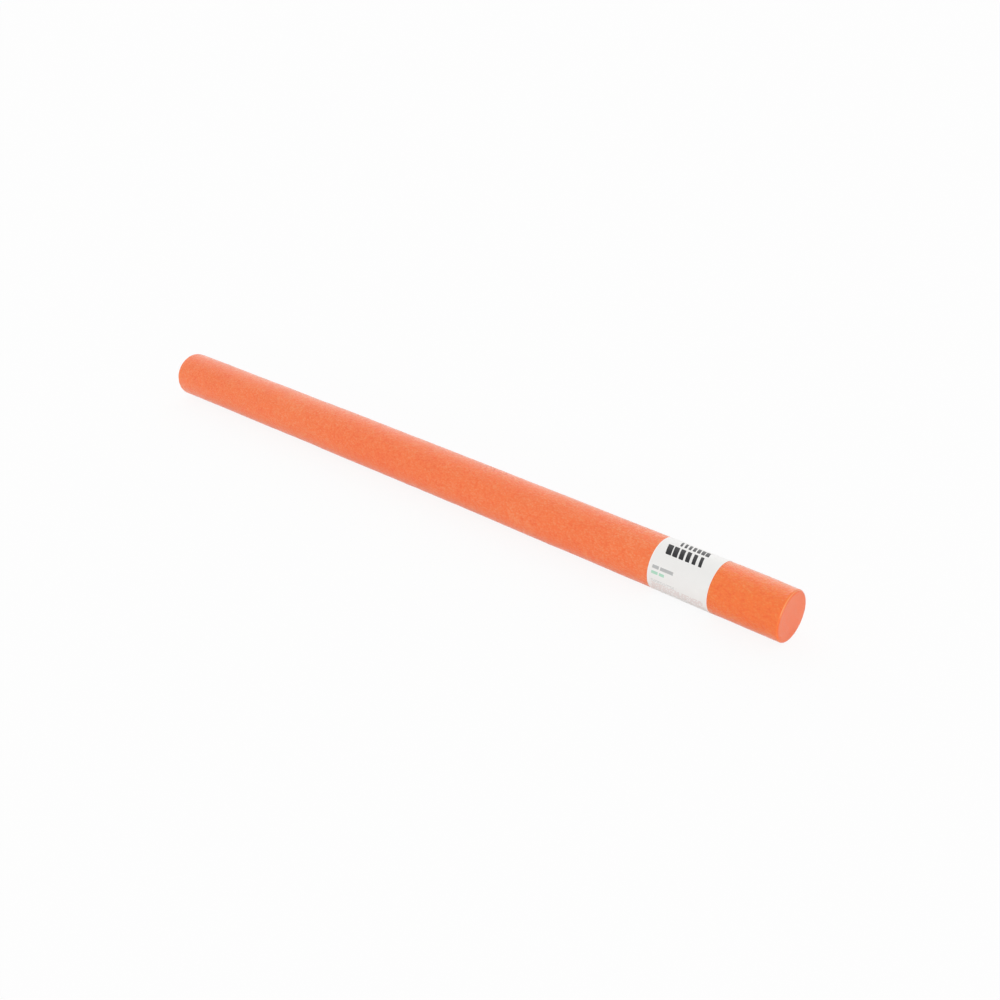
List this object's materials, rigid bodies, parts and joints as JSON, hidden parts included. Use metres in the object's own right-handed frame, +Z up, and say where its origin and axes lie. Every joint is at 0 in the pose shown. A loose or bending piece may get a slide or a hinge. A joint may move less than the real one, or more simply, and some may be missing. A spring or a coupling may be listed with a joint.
{
  "type": "pool noodle",
  "caption": "Long straight solid round foam rod for floating and water play, with cut flat ends and a thin printed film band round it near its end.",
  "frame": {"origin": "centre of the underside, on the surface that the noodle lies on", "axes": "+X along the noodle towards the end with the film band, +Y across it towards the middle of its bow, +Z up"},
  "size_m": [1, 0.0638, 0.0607],
  "materials": {
    "foam": "closed-cell polyethylene foam with an extruded skin, matte",
    "label_film": "printed white film, satin"
  },
  "bodies": {
    "root": {"foam_noodle": "foam", "wrap_label": "label_film"}
  },
  "joints": []
}
